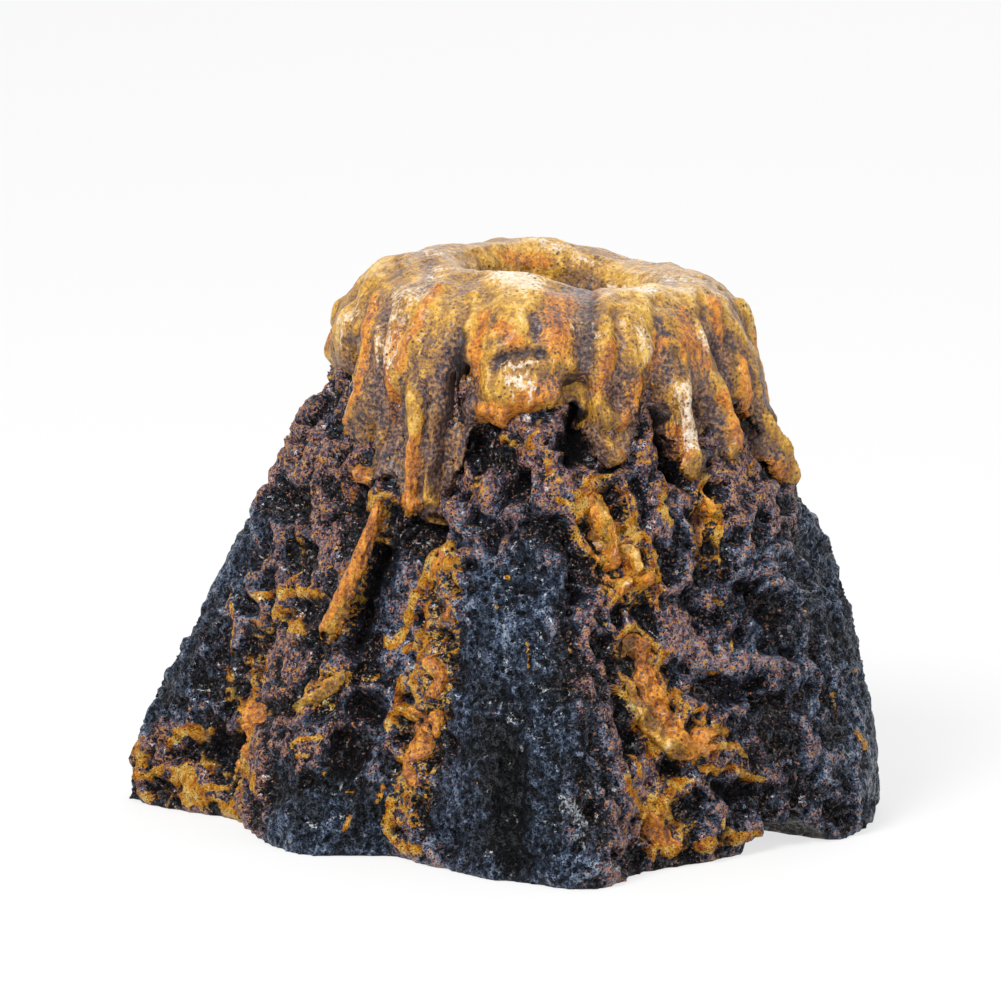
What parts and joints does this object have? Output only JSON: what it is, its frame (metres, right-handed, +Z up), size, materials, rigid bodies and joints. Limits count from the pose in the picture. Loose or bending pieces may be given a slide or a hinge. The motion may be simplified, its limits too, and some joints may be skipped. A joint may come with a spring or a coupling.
{
  "type": "volcano bubbling ornament",
  "caption": "Small volcano aquarium ornament: hollow cast-resin mountain with poured lava over a base plate, air inlet, hoses and an air stone that bubbles through the crater.",
  "frame": {"origin": "middle of the mountain's foot, on the tank floor", "axes": "+Z up, -Y towards the front face that the picture shows, +X to its right; the airline inlet faces +Y"},
  "size_m": [0.07, 0.067, 0.0522],
  "materials": {
    "rock_resin": "charcoal painted cast resin with copper and orange dry-brushing",
    "lava_resin": "glossy ochre and orange painted resin",
    "pale_plastic": "matt moulded",
    "fitting_plastic": "satin moulded",
    "silicone": "translucent milky",
    "stem_plastic": "satin moulded",
    "air_stone_mineral": "sintered grit"
  },
  "bodies": {
    "bubbler": {"base_plate": "pale_plastic", "elbow_fitting": "fitting_plastic", "link_hose": "silicone", "inlet_nipple": "fitting_plastic", "riser_hose": "silicone"},
    "stone": {"stone_stem": "stem_plastic", "air_stone": "air_stone_mineral"},
    "mountain": {"mountain_shell": "rock_resin", "lava_crown": "lava_resin", "left_lava_tube": "lava_resin", "left_streak_lava": "lava_resin", "left_gully_lava": "lava_resin", "centre_gully_lava": "lava_resin", "front_upper_lava": "lava_resin", "front_lower_lava": "lava_resin", "foot_lava": "lava_resin", "right_thin_lava": "lava_resin", "rear_left_lava": "lava_resin", "rear_middle_lava": "lava_resin", "rear_right_lava": "lava_resin"}
  },
  "joints": [
    {"name": "mountain_lift", "type": "slide", "parent": "bubbler", "child": "mountain", "axis": [0, 0, 1], "range_m": [0, 0.06]},
    {"name": "stone_pull", "type": "slide", "parent": "bubbler", "child": "stone", "axis": [0, 0, 1], "range_m": [0, 0.008]}
  ]
}
